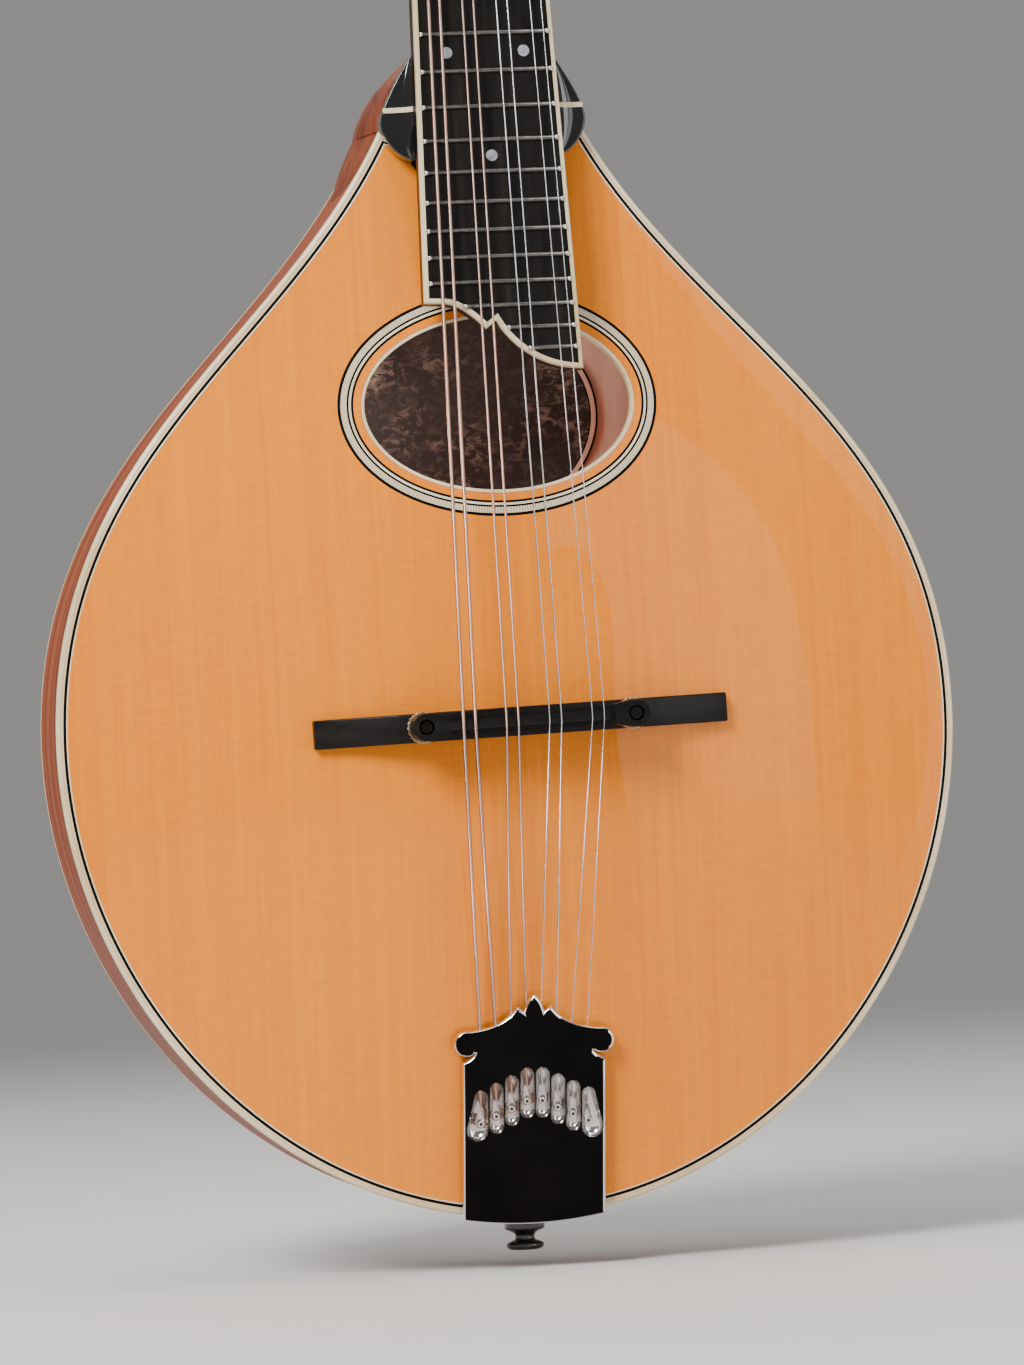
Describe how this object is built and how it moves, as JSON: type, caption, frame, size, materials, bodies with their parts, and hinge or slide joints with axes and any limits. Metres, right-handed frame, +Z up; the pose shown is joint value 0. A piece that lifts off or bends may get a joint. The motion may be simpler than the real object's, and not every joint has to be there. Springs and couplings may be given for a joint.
{
  "type": "a-style mandolin",
  "caption": "A-style mandolin with carved spruce top, oval sound hole, floating ebony bridge, cast tailpiece and geared tuning machines, strung in courses of two.",
  "frame": {"origin": "where a hanger's fork takes the headstock, in the middle of its thickness just above the nut", "axes": "+Z up the neck, square to the bridge's line; the carved face looks along -Y; the bass side is at -X"},
  "size_m": [0.2524, 0.0992, 0.6371],
  "materials": {
    "spruce": "clear gloss lacquer over honey-coloured spruce with fine straight grain",
    "maple": "clear gloss lacquer over red-brown hardwood",
    "inner_wood": "bare sanded softwood",
    "ivory_binding": "polished cream binding",
    "rosette_inlay": "cream and black rings under clear lacquer",
    "paper_label": "printed paper, slightly aged",
    "mahogany": "clear gloss lacquer over red-brown hardwood",
    "ebony": "oiled and burnished ebony",
    "bone": "polished bone",
    "rod_steel": "plain steel",
    "black_gloss": "polished black",
    "nickel": "polished nickel",
    "polished_metal": "mirror-polished plate with bright edges",
    "tuner_button": "polished pearl-like buttons",
    "wound_string": "bronze wound wire",
    "plain_string": "bright plain steel wire"
  },
  "bodies": {
    "instrument": {"top_plate": "spruce", "soundhole_binding": "ivory_binding", "rosette": "rosette_inlay", "back_plate": "maple", "label": "paper_label", "rim": "maple", "top_binding": "ivory_binding", "back_binding": "ivory_binding", "top_lining": "inner_wood", "back_lining": "inner_wood", "head_block": "inner_wood", "tail_block": "inner_wood", "top_brace": "inner_wood", "neck": "mahogany", "fretboard": "ebony", "fretboard_binding": "ivory_binding", "nut": "bone", "extension_riser": "mahogany", "shoulder_cap_bass": "black_gloss", "cap_strip_bass": "ivory_binding", "shoulder_cap_treble": "black_gloss", "cap_strip_treble": "ivory_binding", "truss_rod": "rod_steel", "headstock_veneer": "ebony", "truss_rod_cover": "ebony", "tuner_plate_bass": "nickel", "tuner_plate_treble": "nickel", "bridge_base": "ebony", "bridge_post_bass": "nickel", "bridge_post_treble": "nickel", "tailpiece": "polished_metal", "end_pin": "black_gloss", "string_g_outer": "wound_string", "string_g_inner": "wound_string", "string_d_outer": "wound_string", "string_d_inner": "wound_string", "string_a_inner": "plain_string", "string_a_outer": "plain_string", "string_e_inner": "plain_string", "string_e_outer": "plain_string"},
    "knob_bass_1": {"tuner_knob_bass_1": "tuner_button"},
    "post_bass_1": {"tuner_post_bass_1": "nickel"},
    "knob_bass_2": {"tuner_knob_bass_2": "tuner_button"},
    "post_bass_2": {"tuner_post_bass_2": "nickel"},
    "knob_bass_3": {"tuner_knob_bass_3": "tuner_button"},
    "post_bass_3": {"tuner_post_bass_3": "nickel"},
    "knob_bass_4": {"tuner_knob_bass_4": "tuner_button"},
    "post_bass_4": {"tuner_post_bass_4": "nickel"},
    "knob_treble_1": {"tuner_knob_treble_1": "tuner_button"},
    "post_treble_1": {"tuner_post_treble_1": "nickel"},
    "knob_treble_2": {"tuner_knob_treble_2": "tuner_button"},
    "post_treble_2": {"tuner_post_treble_2": "nickel"},
    "knob_treble_3": {"tuner_knob_treble_3": "tuner_button"},
    "post_treble_3": {"tuner_post_treble_3": "nickel"},
    "knob_treble_4": {"tuner_knob_treble_4": "tuner_button"},
    "post_treble_4": {"tuner_post_treble_4": "nickel"},
    "saddle": {"bridge_saddle": "ebony"},
    "wheel_bass": {"thumbwheel_bass": "nickel"},
    "wheel_treble": {"thumbwheel_treble": "nickel"},
    "rod_nut": {"truss_rod_nut": "rod_steel"}
  },
  "joints": [
    {"name": "knob_bass_1_turn", "type": "hinge", "parent": "instrument", "child": "knob_bass_1", "pos_m": [-0.017, 0.01904, 0.02032], "axis": [-1, 0, 0], "continuous": true},
    {"name": "post_bass_1_turn", "type": "hinge", "parent": "instrument", "child": "post_bass_1", "pos_m": [-0.017, 0.02119, 0.02656], "axis": [0, -0.9455, 0.3256], "continuous": true},
    {"name": "knob_bass_2_turn", "type": "hinge", "parent": "instrument", "child": "knob_bass_2", "pos_m": [-0.017, 0.02653, 0.04207], "axis": [-1, 0, 0], "continuous": true},
    {"name": "post_bass_2_turn", "type": "hinge", "parent": "instrument", "child": "post_bass_2", "pos_m": [-0.017, 0.02868, 0.04831], "axis": [0, -0.9455, 0.3256], "continuous": true},
    {"name": "knob_bass_3_turn", "type": "hinge", "parent": "instrument", "child": "knob_bass_3", "pos_m": [-0.017, 0.03402, 0.06381], "axis": [-1, 0, 0], "continuous": true},
    {"name": "post_bass_3_turn", "type": "hinge", "parent": "instrument", "child": "post_bass_3", "pos_m": [-0.017, 0.03616, 0.07005], "axis": [0, -0.9455, 0.3256], "continuous": true},
    {"name": "knob_bass_4_turn", "type": "hinge", "parent": "instrument", "child": "knob_bass_4", "pos_m": [-0.017, 0.0415, 0.08556], "axis": [-1, 0, 0], "continuous": true},
    {"name": "post_bass_4_turn", "type": "hinge", "parent": "instrument", "child": "post_bass_4", "pos_m": [-0.017, 0.04365, 0.0918], "axis": [0, -0.9455, 0.3256], "continuous": true},
    {"name": "knob_treble_1_turn", "type": "hinge", "parent": "instrument", "child": "knob_treble_1", "pos_m": [0.017, 0.01904, 0.02032], "axis": [1, 0, 0], "continuous": true},
    {"name": "post_treble_1_turn", "type": "hinge", "parent": "instrument", "child": "post_treble_1", "pos_m": [0.017, 0.02119, 0.02656], "axis": [0, -0.9455, 0.3256], "continuous": true},
    {"name": "knob_treble_2_turn", "type": "hinge", "parent": "instrument", "child": "knob_treble_2", "pos_m": [0.017, 0.02653, 0.04207], "axis": [1, 0, 0], "continuous": true},
    {"name": "post_treble_2_turn", "type": "hinge", "parent": "instrument", "child": "post_treble_2", "pos_m": [0.017, 0.02868, 0.04831], "axis": [0, -0.9455, 0.3256], "continuous": true},
    {"name": "knob_treble_3_turn", "type": "hinge", "parent": "instrument", "child": "knob_treble_3", "pos_m": [0.017, 0.03402, 0.06381], "axis": [1, 0, 0], "continuous": true},
    {"name": "post_treble_3_turn", "type": "hinge", "parent": "instrument", "child": "post_treble_3", "pos_m": [0.017, 0.03616, 0.07005], "axis": [0, -0.9455, 0.3256], "continuous": true},
    {"name": "knob_treble_4_turn", "type": "hinge", "parent": "instrument", "child": "knob_treble_4", "pos_m": [0.017, 0.0415, 0.08556], "axis": [1, 0, 0], "continuous": true},
    {"name": "post_treble_4_turn", "type": "hinge", "parent": "instrument", "child": "post_treble_4", "pos_m": [0.017, 0.04365, 0.0918], "axis": [0, -0.9455, 0.3256], "continuous": true},
    {"name": "saddle_height", "type": "slide", "parent": "instrument", "child": "saddle", "axis": [0, -1, 0], "range_m": [-0.001, 0.0015], "deforming": ["string_g_outer", "string_g_inner", "string_d_outer", "string_d_inner", "string_a_inner", "string_a_outer", "string_e_inner", "string_e_outer"]},
    {"name": "thumbwheel_bass_turn", "type": "hinge", "parent": "saddle", "child": "wheel_bass", "pos_m": [-0.02829, -0.0405, -0.36626], "axis": [0, -1, 0], "range_deg": [-515, 772]},
    {"name": "thumbwheel_treble_turn", "type": "hinge", "parent": "saddle", "child": "wheel_treble", "pos_m": [0.02989, -0.0405, -0.36505], "axis": [0, -1, 0], "range_deg": [-515, 772]},
    {"name": "truss_rod_nut_turn", "type": "hinge", "parent": "instrument", "child": "rod_nut", "pos_m": [0, -0.00263, -0.00093], "axis": [0, 0.0872, 0.9962], "range_deg": [-180, 180]}
  ],
  "couplings": [
    {"joint": "post_bass_1_turn", "follows": "knob_bass_1_turn", "ratio": 0.071429},
    {"joint": "post_bass_2_turn", "follows": "knob_bass_2_turn", "ratio": 0.071429},
    {"joint": "post_bass_3_turn", "follows": "knob_bass_3_turn", "ratio": 0.071429},
    {"joint": "post_bass_4_turn", "follows": "knob_bass_4_turn", "ratio": 0.071429},
    {"joint": "post_treble_1_turn", "follows": "knob_treble_1_turn", "ratio": -0.071429},
    {"joint": "post_treble_2_turn", "follows": "knob_treble_2_turn", "ratio": -0.071429},
    {"joint": "post_treble_3_turn", "follows": "knob_treble_3_turn", "ratio": -0.071429},
    {"joint": "post_treble_4_turn", "follows": "knob_treble_4_turn", "ratio": -0.071429},
    {"joint": "thumbwheel_bass_turn", "follows": "saddle_height", "rad_per_m": 8976},
    {"joint": "thumbwheel_treble_turn", "follows": "saddle_height", "rad_per_m": 8976}
  ]
}
